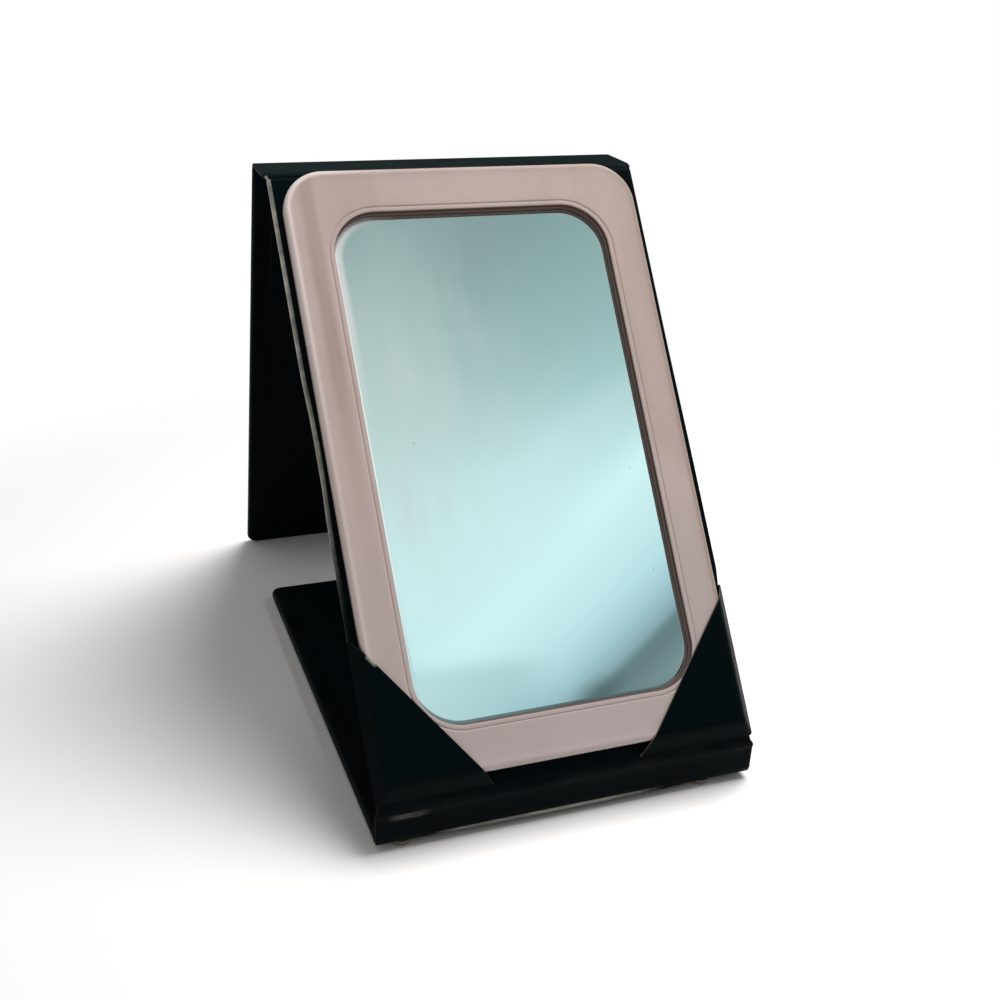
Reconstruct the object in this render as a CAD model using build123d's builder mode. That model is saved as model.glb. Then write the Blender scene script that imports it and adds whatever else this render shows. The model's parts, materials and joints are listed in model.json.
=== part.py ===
"""Folding three-panel vanity mirror, standing open on a table.

Three leather-wrapped boards and two narrow leather spines form one strip with four creases. Open, the strip
stands as a tent: base on the table, mirror panel leaning back, rear panel down to the table behind the base.
A moulded frame with a recessed mirror is taped to the mirror panel, its lower corners tucked into pockets.

Frame: +Z up, table at z = 0, +X right and -Y towards the user; the origin is under the middle of the part.
Every section has its own plane: x across, y along the strip from the base's free edge to the rear panel's
free edge, z towards side A. Side A is the mirror's side, and the closed case folds towards it.
"""
import os
from collections import namedtuple
from math import asin, atan2, cos, degrees, hypot, radians, sin

from build123d import *

os.makedirs("parts", exist_ok=True)

# ------------------------------------------------------------------------------------- driving sizes, mm
# Strip, measured from crease axis to crease axis or from a crease axis to a free edge
case_width = 130.0
mirror_panel_width = 128.0
base_length = 191.0
bottom_spine_length = 11.2
mirror_panel_length = 208.0
top_spine_length = 21.0
rear_panel_length = 218.0

# Directions of the sections in the stand, turned up from the rearward axis
base_angle = 180.0
bottom_spine_angle = 94.0
mirror_panel_angle = 54.2
top_spine_angle = 3.0

# Closed case: the bottom spine leans this far over the mirror panel
closed_lean = 7.0

# Leather-wrapped boards
leather = 0.5
panel_board = 2.0
spine_board = 1.0
edge_wall = 0.6
board_clearance = 0.05
face_sheet = 0.35
sheet_clearance = 0.1
corner_radius = 5.0
panel_edge_round = 1.2
spine_edge_round = 0.8
panel_border = 7.0
rear_end_border = 14.0
spine_end_border = 5.0

# Creases: a thin web, and on one side of each crease a bead about its axis
crease_gap = 2.0
web_thickness = 1.0
bead_radius = 0.8
bead_clearance = 0.05

# Moulded mirror frame, glass and their fixing
frame_side_gap = 3.5
frame_width = mirror_panel_width - 2 * frame_side_gap
frame_end_gap = 1.4
frame_lower_gap = 6.5
frame_length = mirror_panel_length - frame_end_gap - frame_lower_gap
frame_depth = 4.5
frame_corner = 14.0
frame_round = 2.0
frame_wall = 1.5
opening_width = 92.5
opening_length = 166.8
opening_corner = 14.5
opening_flare = 1.5
glass_recess = 2.6
glass_thickness = 1.3
glass_overlap = 3.2
glass_clearance = 0.1
glass_rib = 1.2
groove_offset = 2.0
groove_width = 0.6
groove_depth = 0.25
back_plate = 0.6
plate_clearance = 0.1
hollow_depth = 2.4
tape_thickness = 0.3
tape_width = 20.0
tape_length = 170.0
tape_spacing = 70.0

# Corner pockets
pocket_leather = 0.6
pocket_clearance = 0.05
pocket_side_length = 52.0
pocket_end_length = 41.1
pocket_side_slope = 4.4
pocket_end_slope = 5.0
pocket_fold_spread = 0.3

# Feet: round domed bumpers, stuck on by hand
foot_radius = 4.0
foot_height = 2.2
foot_tip_radius = 1.4
foot_bulge = 0.55
left_foot_x = -55.0
right_foot_x = 49.0
front_foot_setback = 4.5
rear_foot_setback = 12.0

# Closing magnets and the steel plates that they pull
magnet_radius = 5.0
magnet_thickness = 1.5
magnet_spacing = 70.0
magnet_from_edge = 24.0
plate_radius = 6.0
plate_thickness = 0.8
disc_clearance = 0.1

# ------------------------------------------------------------------------------------- the stand's outline
panel_half = panel_board / 2 + leather
spine_half = spine_board / 2 + leather
base_height = foot_height + panel_half


def along(point, length, angle):
    """The point reached from (y, z) after a length in a direction"""
    return point[0] + length * cos(radians(angle)), point[1] + length * sin(radians(angle))


def rear_panel_direction(height):
    """Angle at which the rear panel, hung at a height, just touches the table with its rounded lower edge"""
    inset_length = rear_panel_length - panel_edge_round
    inset_half = panel_half - panel_edge_round
    reach = hypot(inset_length, inset_half)
    return -degrees(asin((height - panel_edge_round) / reach) - atan2(inset_half, inset_length))


first = (0.0, base_height)
second = along(first, bottom_spine_length, bottom_spine_angle)
third = along(second, mirror_panel_length, mirror_panel_angle)
fourth = along(third, top_spine_length, top_spine_angle)
rear_panel_angle = rear_panel_direction(fourth[1])

front_edge = along(along(first, bottom_spine_length - crease_gap, bottom_spine_angle),
                   spine_half, bottom_spine_angle + 90)
lower_edge = along(along(fourth, rear_panel_length - panel_edge_round, rear_panel_angle),
                   panel_half - panel_edge_round, rear_panel_angle + 90)
middle_y = (front_edge[0] + lower_edge[0] + panel_edge_round) / 2


def section_plane(crease, angle):
    """Plane of a section from the crease that it starts at, with side A on its positive side"""
    turn = radians(angle)
    return Plane(origin=(0, crease[0] - middle_y, crease[1]), x_dir=(1, 0, 0),
                 z_dir=(0, -sin(turn), cos(turn)))


base_plane = section_plane(first, base_angle)
bottom_spine_plane = section_plane(first, bottom_spine_angle)
mirror_plane = section_plane(second, mirror_panel_angle)
top_spine_plane = section_plane(third, top_spine_angle)
rear_plane = section_plane(fourth, rear_panel_angle)

# ------------------------------------------------------------------------------------- wrapped sections
# near and far are the section's ends along y; creases lists (axis y, where the web starts or ends)
Section = namedtuple("Section", "plane width near far board edge_round free_end border webs beads")

web_end = bead_radius + bead_clearance

base_section = Section(
    base_plane, case_width, -base_length, -crease_gap, panel_board, panel_edge_round, 0,
    (panel_border, panel_border, panel_border), [(-crease_gap - edge_wall, 0.0)], [0.0])
bottom_spine_section = Section(
    bottom_spine_plane, case_width, crease_gap, bottom_spine_length - crease_gap, spine_board,
    spine_edge_round, None, (spine_end_border, edge_wall, edge_wall),
    [(web_end, crease_gap + edge_wall),
     (bottom_spine_length - crease_gap - edge_wall, bottom_spine_length - web_end)], [])
mirror_section = Section(
    mirror_plane, mirror_panel_width, crease_gap, mirror_panel_length - crease_gap, panel_board,
    panel_edge_round, None, (panel_border, panel_border, panel_border),
    [(0.0, crease_gap + edge_wall),
     (mirror_panel_length - crease_gap - edge_wall, mirror_panel_length)], [0.0, mirror_panel_length])
top_spine_section = Section(
    top_spine_plane, case_width, crease_gap, top_spine_length - crease_gap, spine_board,
    spine_edge_round, None, (spine_end_border, edge_wall, edge_wall),
    [(web_end, crease_gap + edge_wall),
     (top_spine_length - crease_gap - edge_wall, top_spine_length - web_end)], [])
rear_section = Section(
    rear_plane, case_width, crease_gap, rear_panel_length, panel_board, panel_edge_round, -1,
    (panel_border, panel_border, rear_end_border), [(0.0, crease_gap + edge_wall)], [0.0])


def outline(section, inset, radius=0.0):
    """Flat outline of a section, drawn in at its sides, near end and far end"""
    side, near, far = inset
    width = section.width - 2 * side
    length = section.far - section.near - near - far
    with BuildSketch() as flat:
        with Locations((0, section.near + near + length / 2)):
            Rectangle(width, length)
        if section.free_end is not None and radius > 0:
            fillet(flat.vertices().group_by(Axis.Y)[section.free_end], radius)
    return flat.sketch


def evenly(inset):
    """The same inset at the sides and at both ends"""
    return inset, inset, inset


def leather_cover(section):
    """Leather round a board: outer sheet, edges, turned-in border, and the thin webs at the creases"""
    half = section.board / 2 + leather
    across = Axis((0, 0, 0), section.plane.z_dir)
    with BuildPart() as cover:
        with BuildSketch(section.plane.offset(-half)):
            add(outline(section, evenly(0.0), corner_radius))
        extrude(amount=2 * half)
        fillet(cover.faces().filter_by(across).edges(), section.edge_round)
        for start, end in section.webs:
            with BuildSketch(section.plane.offset(-web_thickness / 2)):
                with Locations((0, (start + end) / 2)):
                    Rectangle(section.width, end - start)
            extrude(amount=web_thickness)
        for axis_y in section.beads:
            side = section.plane.from_local_coords((-section.width / 2, axis_y, 0))
            with BuildSketch(Plane(origin=side, z_dir=(1, 0, 0))):
                Circle(bead_radius)
            extrude(amount=section.width)
        with BuildSketch(section.plane.offset(-section.board / 2)):
            add(outline(section, evenly(edge_wall), corner_radius - edge_wall))
        extrude(amount=section.board, mode=Mode.SUBTRACT)
        with BuildSketch(section.plane.offset(-half)):
            add(outline(section, section.border))
        extrude(amount=leather, mode=Mode.SUBTRACT)
    return cover.part


def stiff_board(section, discs=(), disc_radius=0.0, disc_depth=0.0, disc_side=1):
    """Board inside the leather, with round seats for discs cut into side A (1) or side B (-1)"""
    inset = edge_wall + board_clearance
    with BuildPart() as board:
        with BuildSketch(section.plane.offset(-section.board / 2)):
            add(outline(section, evenly(inset), corner_radius - inset))
        extrude(amount=section.board)
        if discs:
            with BuildSketch(section.plane.offset(disc_side * section.board / 2)):
                with Locations(*discs):
                    Circle(disc_radius)
            extrude(amount=-disc_side * disc_depth, mode=Mode.SUBTRACT)
    return board.part


def inner_sheet(section):
    """Leather sheet that lies on side B of the board, inside the turned-in border"""
    border = [edge + sheet_clearance for edge in section.border]
    with BuildPart() as sheet:
        with BuildSketch(section.plane.offset(-section.board / 2 - face_sheet)):
            add(outline(section, border))
        extrude(amount=face_sheet)
    return sheet.part


def disc_set(section, places, radius, thickness, side):
    """Discs let into a board from side A (1) or side B (-1), flush with its face"""
    with BuildPart() as discs:
        with BuildSketch(section.plane.offset(side * section.board / 2)):
            with Locations(*places):
                Circle(radius)
        extrude(amount=-side * thickness)
    return discs.part


def save(piece, name):
    """Label a finished piece and write its file"""
    piece.label = name
    export_step(piece, f"parts/{name}.step")


# ------------------------------------------------------------------------------------- base
plate_setback = (mirror_panel_length - rear_panel_length + magnet_from_edge
                 - bottom_spine_length * sin(radians(closed_lean)))
plate_places = [(x, -plate_setback) for x in (-magnet_spacing / 2, magnet_spacing / 2)]

save(leather_cover(base_section), "base_leather")
save(inner_sheet(base_section), "base_inner_sheet")
save(stiff_board(base_section, plate_places, plate_radius + disc_clearance, plate_thickness, -1),
     "base_board")
save(disc_set(base_section, plate_places, plate_radius, plate_thickness, -1), "closing_plates")

foot_rows = (front_foot_setback, base_length - rear_foot_setback)
with BuildPart() as base_feet:
    for foot_x in (left_foot_x, right_foot_x):
        for setback in foot_rows:
            foot_y = base_plane.origin.Y + setback
            with BuildSketch(Plane(origin=(foot_x, foot_y, 0), x_dir=(1, 0, 0), z_dir=(0, -1, 0))):
                with BuildLine():
                    Polyline((foot_tip_radius, 0), (0, 0), (0, foot_height), (foot_radius, foot_height))
                    SagittaArc((foot_radius, foot_height), (foot_tip_radius, 0), foot_bulge)
                make_face()
            revolve(axis=Axis((foot_x, foot_y, 0), (0, 0, 1)))
save(base_feet.part, "base_feet")

# ------------------------------------------------------------------------------------- bottom spine
save(leather_cover(bottom_spine_section), "bottom_spine_leather")
save(inner_sheet(bottom_spine_section), "bottom_spine_inner_sheet")
save(stiff_board(bottom_spine_section), "bottom_spine_stiffener")

# ------------------------------------------------------------------------------------- mirror panel
save(leather_cover(mirror_section), "mirror_panel_leather")
save(inner_sheet(mirror_section), "mirror_panel_inner_sheet")
save(stiff_board(mirror_section), "mirror_panel_board")

# Levels above the mirror panel's plane, and the frame's place along it
panel_face = panel_half
frame_back = panel_face + tape_thickness
frame_front = frame_back + frame_depth
glass_front = frame_front - glass_recess
glass_back = glass_front - glass_thickness
frame_middle = mirror_panel_length - frame_end_gap - frame_length / 2
glass_width = opening_width + 2 * glass_overlap
glass_length = opening_length + 2 * glass_overlap
glass_corner = opening_corner + glass_overlap
recess_width = frame_width - 2 * frame_wall
recess_length = frame_length - 2 * frame_wall
recess_corner = frame_corner - frame_wall


def rounded(width, length, corner, grow=0.0):
    """Rounded rectangle centred on the frame, grown all round"""
    with BuildSketch() as shape:
        with Locations((0, frame_middle)):
            RectangleRounded(width + 2 * grow, length + 2 * grow, corner + grow)
    return shape.sketch


with BuildPart() as mirror_frame:
    with BuildSketch(mirror_plane.offset(frame_back)):
        add(rounded(frame_width, frame_length, frame_corner))
    extrude(amount=frame_depth)
    outward = Axis(mirror_plane.origin, mirror_plane.z_dir)
    front_face = mirror_frame.faces().filter_by(outward).sort_by(outward)[-1]
    fillet(front_face.edges(), frame_round)
    # flared opening in front of the glass
    with BuildSketch(mirror_plane.offset(glass_front)):
        add(rounded(opening_width, opening_length, opening_corner))
    with BuildSketch(mirror_plane.offset(frame_front)):
        add(rounded(opening_width, opening_length, opening_corner, opening_flare))
    loft(mode=Mode.SUBTRACT)
    # seats of the glass and of the back plate
    with BuildSketch(mirror_plane.offset(frame_back)):
        add(rounded(glass_width, glass_length, glass_corner, glass_clearance))
    extrude(amount=glass_front - frame_back, mode=Mode.SUBTRACT)
    with BuildSketch(mirror_plane.offset(frame_back)):
        add(rounded(recess_width, recess_length, recess_corner))
    extrude(amount=back_plate, mode=Mode.SUBTRACT)
    # hollow between the outer wall and the rib round the glass
    with BuildSketch(mirror_plane.offset(frame_back + back_plate)):
        add(rounded(recess_width, recess_length, recess_corner))
        add(rounded(glass_width, glass_length, glass_corner, glass_clearance + glass_rib),
            mode=Mode.SUBTRACT)
    extrude(amount=hollow_depth, mode=Mode.SUBTRACT)
    # fine groove round the opening
    with BuildSketch(mirror_plane.offset(frame_front)):
        groove_inside = opening_flare + groove_offset
        add(rounded(opening_width, opening_length, opening_corner, groove_inside + groove_width))
        add(rounded(opening_width, opening_length, opening_corner, groove_inside), mode=Mode.SUBTRACT)
    extrude(amount=-groove_depth, mode=Mode.SUBTRACT)
save(mirror_frame.part, "mirror_frame")

with BuildPart() as mirror_glass:
    with BuildSketch(mirror_plane.offset(glass_back)):
        add(rounded(glass_width, glass_length, glass_corner))
    extrude(amount=glass_thickness)
save(mirror_glass.part, "mirror_glass")

with BuildPart() as frame_back_plate:
    with BuildSketch(mirror_plane.offset(frame_back)):
        add(rounded(recess_width, recess_length, recess_corner, -plate_clearance))
    extrude(amount=back_plate)
save(frame_back_plate.part, "frame_back_plate")

with BuildPart() as mounting_tape:
    with BuildSketch(mirror_plane.offset(panel_face)):
        with Locations((-tape_spacing / 2, frame_middle), (tape_spacing / 2, frame_middle)):
            Rectangle(tape_width, tape_length)
    extrude(amount=tape_thickness)
save(mounting_tape.part, "mounting_tape")

# Corner pockets: leather stretched from the panel's edges up over the frame's lower corners
pocket_outside = mirror_panel_width / 2 + pocket_leather
pocket_foot = crease_gap
pocket_ceiling = frame_front + pocket_clearance
pocket_top = pocket_ceiling + pocket_leather


def tent_floor(side, x_edge, y_edge):
    """Rectangle from the panel's middle to a pocket's outer edges; side is -1 for left and 1 for right"""
    height = pocket_foot + 2 * pocket_side_length - y_edge
    with BuildSketch() as floor:
        with Locations((side * x_edge / 2, y_edge + height / 2)):
            Rectangle(x_edge, height)
    return floor.sketch


def corner_pocket(side):
    """One pocket: a tent of leather, a side flap glued to the panel's edge, and a slanting mouth"""
    with BuildPart() as pocket:
        with BuildSketch(mirror_plane.offset(panel_face)):
            add(tent_floor(side, pocket_outside, pocket_foot))
        with BuildSketch(mirror_plane.offset(pocket_top)):
            add(tent_floor(side, pocket_outside - pocket_side_slope - pocket_fold_spread,
                           pocket_foot + pocket_end_slope + pocket_fold_spread))
        loft(ruled=True)
        with BuildSketch(mirror_plane.offset(panel_face)):
            add(tent_floor(side, pocket_outside - pocket_leather, pocket_foot + pocket_leather))
        with BuildSketch(mirror_plane.offset(pocket_ceiling)):
            add(tent_floor(side, pocket_outside - pocket_leather - pocket_side_slope,
                           pocket_foot + pocket_leather + pocket_end_slope))
        loft(ruled=True, mode=Mode.SUBTRACT)
        with BuildSketch(mirror_plane.offset(-panel_half)):
            with Locations((side * (pocket_outside - pocket_leather / 2),
                            pocket_foot + pocket_side_length)):
                Rectangle(pocket_leather, 2 * pocket_side_length)
        extrude(amount=2 * panel_half)
        with BuildSketch(mirror_plane.offset(-panel_half)):
            with BuildLine():
                Polyline((side * pocket_outside, pocket_foot),
                         (side * pocket_outside, pocket_foot + pocket_side_length),
                         (side * (pocket_outside - pocket_end_length), pocket_foot), close=True)
            make_face()
        extrude(amount=panel_half + pocket_top, mode=Mode.INTERSECT)
    return pocket.part


save(corner_pocket(-1), "left_corner_pocket")
save(corner_pocket(1), "right_corner_pocket")

# ------------------------------------------------------------------------------------- top spine
save(leather_cover(top_spine_section), "top_spine_leather")
save(inner_sheet(top_spine_section), "top_spine_inner_sheet")
save(stiff_board(top_spine_section), "top_spine_stiffener")

# ------------------------------------------------------------------------------------- rear panel
magnet_places = [(x, rear_panel_length - magnet_from_edge)
                 for x in (-magnet_spacing / 2, magnet_spacing / 2)]

save(leather_cover(rear_section), "rear_panel_leather")
save(inner_sheet(rear_section), "rear_panel_inner_sheet")
save(stiff_board(rear_section, magnet_places, magnet_radius + disc_clearance, magnet_thickness, 1),
     "rear_panel_board")
save(disc_set(rear_section, magnet_places, magnet_radius, magnet_thickness, 1), "closing_magnets")
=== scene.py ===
"""Folding three-panel vanity mirror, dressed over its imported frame.

The sections follow the part as it is put together: viewer and room first, then the leather strip, the feet,
the pieces sealed inside, the mirror's frame and glass, and the corner pockets. Lengths are in millimetres.
"""
import json
from math import asin, atan2, cos, hypot, pi, sin, sqrt, tan

import bmesh
import bpy
from mathutils import Matrix, Vector, noise


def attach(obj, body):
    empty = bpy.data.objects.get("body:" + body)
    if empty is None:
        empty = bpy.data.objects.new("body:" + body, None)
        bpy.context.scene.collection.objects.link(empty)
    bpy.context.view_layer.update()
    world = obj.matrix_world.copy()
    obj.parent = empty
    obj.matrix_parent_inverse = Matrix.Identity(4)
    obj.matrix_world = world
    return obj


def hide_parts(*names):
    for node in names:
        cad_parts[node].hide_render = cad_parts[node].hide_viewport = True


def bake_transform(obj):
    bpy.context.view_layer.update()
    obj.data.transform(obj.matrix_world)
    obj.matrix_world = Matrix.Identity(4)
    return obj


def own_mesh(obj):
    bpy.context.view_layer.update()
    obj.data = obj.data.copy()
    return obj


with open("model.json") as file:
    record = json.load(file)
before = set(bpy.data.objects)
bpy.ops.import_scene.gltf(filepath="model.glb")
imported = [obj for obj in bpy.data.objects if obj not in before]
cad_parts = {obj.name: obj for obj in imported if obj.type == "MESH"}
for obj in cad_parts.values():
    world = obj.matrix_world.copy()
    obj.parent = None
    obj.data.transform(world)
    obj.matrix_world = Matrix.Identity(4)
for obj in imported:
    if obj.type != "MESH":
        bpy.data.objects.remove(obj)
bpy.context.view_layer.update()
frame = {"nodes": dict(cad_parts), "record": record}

mm = 0.001

# ------------------------------------------------------ Viewer
# A person at the table, a little to the left of the part and looking down at it. The picture's middle
# lies above the lens axis, which the lens shift makes good.
eye = Vector((-130.7, -440.9, 240.1)) * mm
turn_right = 0.36719
look_down = 0.46744
lean_over = 0.02027

lens = bpy.data.cameras.new("viewer")
lens.sensor_width = 36.0
lens.lens = 45.3
lens.shift_x = -0.0445
lens.shift_y = 0.1223
lens.clip_start = 0.01
viewer = bpy.data.objects.new("viewer", lens)
viewer.matrix_world = (Matrix.Translation(eye) @ Matrix.Rotation(-turn_right, 4, "Z")
                       @ Matrix.Rotation(pi / 2 - look_down, 4, "X") @ Matrix.Rotation(lean_over, 4, "Z"))
bpy.context.collection.objects.link(viewer)
bpy.context.scene.camera = viewer
bpy.context.scene.view_settings.view_transform = "Standard"

# -------------------------------------------------------- Room
# A white table under one soft window. The table keeps the part's shadow and turns to plain white further
# out. What glossy things see is painted by direction: pale blue-green crossed by slanting beams ahead,
# darker overhead, and plain and pale at the sides and behind.


def feed(tree, socket, value):
    """Gives an input its value: a number, a colour, or the output that it is linked to"""
    if isinstance(value, bpy.types.NodeSocket):
        tree.links.new(value, socket)
    else:
        socket.default_value = value


def node(tree, kind, place, **settings):
    """A node of a kind, a shader's if not said otherwise, with its properties and inputs given by name"""
    made = tree.nodes.new(kind if "Node" in kind else "ShaderNode" + kind)
    made.location = [step * 100 for step in place]
    for name, value in settings.items():
        if hasattr(made, name):
            setattr(made, name, value)
        else:
            feed(tree, made.inputs[name.replace("_", " ")], value)
    return made


def math(tree, operation, place, *values, clamp=False):
    """Output of a maths node on numbers or outputs"""
    made = node(tree, "Math", place, operation=operation, use_clamp=clamp)
    for socket, value in zip(made.inputs, values):
        feed(tree, socket, value)
    return made.outputs[0]


def ranged(tree, value, place, low, high, to_low=0.0, to_high=1.0, smooth=False):
    """A value moved from one range to another and kept inside it"""
    return node(tree, "MapRange", place, Value=value, From_Min=low, From_Max=high, To_Min=to_low,
                To_Max=to_high, interpolation_type="SMOOTHSTEP" if smooth else "LINEAR").outputs[0]


def grey(value):
    """Colour of a grey value, or of a colour as it stands"""
    return (*value, 1) if isinstance(value, tuple) else (value, value, value, 1)


def ramped(tree, value, place, stops, smooth=False):
    """Output of a colour ramp on a value, with stops of (position, grey value or colour)"""
    made = node(tree, "ValToRGB", place)
    feed(tree, made.inputs[0], value)
    made.color_ramp.interpolation = "EASE" if smooth else "LINEAR"
    marks = made.color_ramp.elements
    marks[0].position, marks[0].color = stops[0][0], grey(stops[0][1])
    marks[1].position, marks[1].color = stops[-1][0], grey(stops[-1][1])
    for position, colour in stops[1:-1]:
        marks.new(position).color = grey(colour)
    return made.outputs[0]


def mixed(tree, place, factor, first, second, blend="MIX"):
    """Colour between two, each a grey value, a colour or an output"""
    made = node(tree, "Mix", place, data_type="RGBA", blend_type=blend, Factor=factor)
    for socket, value in ((made.inputs[6], first), (made.inputs[7], second)):
        feed(tree, socket, value if isinstance(value, bpy.types.NodeSocket) else grey(value))
    return made.outputs[2]


def mixed_shader(tree, place, factor, first, second):
    """A shader between two"""
    made = node(tree, "MixShader", place)
    for socket, value in zip(made.inputs, (factor, first.outputs[0], second.outputs[0])):
        feed(tree, socket, value)
    return made


def ray_kinds(tree, place):
    """The light path node, and an output that is 1 where the viewer looks, also through something clear"""
    rays = node(tree, "LightPath", place)
    return rays, math(tree, "MAXIMUM", (place[0] + 2, place[1]),
                      rays.outputs["Is Camera Ray"], rays.outputs["Is Transmission Ray"])


table_half = 3.0
table_white, seen_white = 0.97, 1.15        # as it lights the part, and as the viewer sees it
plain_from, plain_to = 0.24, 0.40           # distance from the middle at which the shadow fades out
table_mesh = bpy.data.meshes.new("table")
table_mesh.from_pydata([(x * table_half, y * table_half, 0)
                        for x, y in ((-1, -1), (1, -1), (1, 1), (-1, 1))], [], [(0, 1, 2, 3)])
table = bpy.data.objects.new("table", table_mesh)
bpy.context.collection.objects.link(table)
table_paint = bpy.data.materials.new("table_white")
table_paint.use_nodes = True
tree = table_paint.node_tree
tree.nodes.clear()
distance = node(tree, "VectorMath", (-7, 0), operation="LENGTH",
                Vector=node(tree, "TexCoord", (-9, 0)).outputs["Object"])
far_out = ranged(tree, distance.outputs["Value"], (-5, 0), plain_from, plain_to, smooth=True)
_, to_eye = ray_kinds(tree, (-7, 3))
paint = node(tree, "BsdfDiffuse", (-0.5, 0),
             Color=mixed(tree, (-2.5, -1), to_eye, table_white, seen_white))
plain_white = node(tree, "Emission", (-0.5, 1.5))
plainly = math(tree, "MULTIPLY", (-2.5, 2), to_eye, far_out)
coat = mixed_shader(tree, (2, 1), plainly, paint, plain_white)
node(tree, "OutputMaterial", (4, 1), Surface=coat.outputs[0])
table_mesh.materials.append(table_paint)

# Colours and shares of haze by height, from 0 at the horizon to 1 straight up
sky_stops = [(0.0, (0.02, 0.02, 0.02)), (0.25, (0.04, 0.05, 0.05)), (0.45, (0.17, 0.20, 0.20)),
             (0.570, (0.20, 0.31, 0.33)), (0.585, (0.60, 0.86, 0.88)), (0.653, (0.61, 0.87, 0.89)),
             (0.703, (0.61, 0.87, 0.88)), (0.740, (0.60, 0.85, 0.86)), (0.754, (0.46, 0.69, 0.69)),
             (0.778, (0.37, 0.56, 0.555)), (0.809, (0.29, 0.45, 0.44)), (0.834, (0.24, 0.36, 0.36)),
             (0.90, (0.22, 0.32, 0.33)), (1.0, (0.20, 0.27, 0.27))]
haze_stops = [(0.740, 0.0), (0.757, 0.60), (0.80, 0.50), (0.835, 0.42), (0.862, 0.10), (1.0, 0.05)]
room_stops = [(0.0, (0.30, 0.34, 0.34)), (0.40, (0.40, 0.46, 0.46)), (0.60, (0.74, 0.82, 0.82)),
              (1.0, (0.78, 0.84, 0.84))]
# The beams' share of the light, across their slant
beam_across, beam_down = 0.30, -0.954
beam_from, beam_to = -0.60, -0.40
beam_stops = [(0.15, 1.0), (0.25, 1.09), (0.31, 1.05), (0.37, 1.0), (0.43, (0.93, 0.97, 0.98)),
              (0.51, (0.81, 0.885, 0.91)), (0.59, (0.63, 0.71, 0.745)), (0.63, (0.52, 0.585, 0.62)),
              (0.65, (0.47, 0.53, 0.56)), (0.669, (0.43, 0.48, 0.505)), (0.69, (0.225, 0.255, 0.26)),
              (0.72, (0.22, 0.25, 0.255)), (0.775, (0.27, 0.30, 0.305)), (1.0, 0.6)]
dim_teal, patch_dark = (0.20, 0.34, 0.35), (0.05, 0.09, 0.10)
haze_pale, wall_bright = (0.62, 0.78, 0.75), (1.25, 1.35, 1.35)
patch_across, patch_up, patch_flatness = 0.351, 0.594, 2.2
room_light = 0.30

room = bpy.data.worlds.new("room")
bpy.context.scene.world = room
room.use_nodes = True
tree = room.node_tree
tree.nodes.clear()
direction = node(tree, "TexCoord", (-15, 0)).outputs["Generated"]
across, rearward, up = node(tree, "SeparateXYZ", (-13, 0), Vector=direction).outputs
slant = math(tree, "MULTIPLY_ADD", (-10, -2), across, beam_across,
             math(tree, "MULTIPLY", (-11.5, -3), up, beam_down))
beams = ramped(tree, ranged(tree, slant, (-8, -2.5), beam_from, beam_to), (-6, -2.5), beam_stops)
seen = mixed(tree, (-3, 2), 1.0, ramped(tree, up, (-9, 2), sky_stops), beams, "MULTIPLY")

# A dim band low at the left, and the dim upper right
band = ranged(tree, math(tree, "MULTIPLY_ADD", (-10, -4.5), across, 0.24, up), (-8, -5),
              0.712, 0.699, to_high=0.33, smooth=True)
low_left = math(tree, "MULTIPLY", (-6, -6), band, ranged(tree, across, (-8, -7), 0.33, 0.29))
high_right = math(tree, "MULTIPLY", (-6, -10),
                  ranged(tree, across, (-8, -9), 0.30, 0.44, to_high=0.42),
                  ranged(tree, up, (-8, -11), 0.705, 0.738))
dim = math(tree, "MAXIMUM", (-4, -8), low_left, high_right)
seen = mixed(tree, (-1.5, 2), dim, seen, dim_teal)

# A small dark patch, wider than high
flattened = node(tree, "Mapping", (-10, -13), Vector=direction,
                 Scale=(1.0, 0.0, patch_flatness))
from_patch = node(tree, "VectorMath", (-8, -13), operation="DISTANCE",
                  Vector=flattened.outputs[0])
from_patch.inputs[1].default_value = (patch_across, 0.0, patch_up * patch_flatness)
in_patch = ranged(tree, from_patch.outputs["Value"], (-6, -13), 0.030, 0.004, to_high=0.55, smooth=True)
seen = mixed(tree, (0, 2), in_patch, seen, patch_dark)

# Haze high at the left
hazy = math(tree, "MULTIPLY", (-4, -15), ranged(tree, across, (-8, -15), 0.30, 0.22, smooth=True),
            ramped(tree, up, (-8, -17), haze_stops))
seen = mixed(tree, (1.5, 2), hazy, seen, haze_pale)

# The plain rest of the room, and a bright wall at the far left
off_middle = math(tree, "ABSOLUTE", (-9.5, -19), math(tree, "SUBTRACT", (-11, -19), across, 0.2))
behind = math(tree, "MULTIPLY", (-6, -21), ranged(tree, rearward, (-8, -21), -0.25, 0.15),
              ranged(tree, up, (-8, -22), 0.48, 0.62, to_low=0.12))
elsewhere = math(tree, "MAXIMUM", (-4.5, -20),
                 ranged(tree, off_middle, (-8, -19), 0.26, 0.42, smooth=True), behind)
seen = mixed(tree, (3, 2), elsewhere, seen, ramped(tree, up, (-4, -19), room_stops))
far_left = math(tree, "MULTIPLY", (-6, -24),
                ranged(tree, across, (-8, -23), 0.08, -0.10, smooth=True),
                ranged(tree, up, (-8, -25), 0.62, 0.80))
seen = mixed(tree, (4.5, 2), far_left, seen, wall_bright)

reflected = node(tree, "Background", (6.5, 2), Color=seen)
lighting = node(tree, "Background", (6.5, 0.5), Color=(1.0, 0.985, 0.97, 1), Strength=room_light)
backdrop = node(tree, "Background", (6.5, -1), Color=(1, 1, 1, 1), Strength=1.0)
rays, to_eye = ray_kinds(tree, (4, 5))
unseen = mixed_shader(tree, (8.5, 1.5), rays.outputs["Is Glossy Ray"], lighting, reflected)
shown = mixed_shader(tree, (10.5, 1.5), to_eye, unseen, backdrop)
node(tree, "OutputWorld", (12.5, 1.5), Surface=shown.outputs[0])

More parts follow.
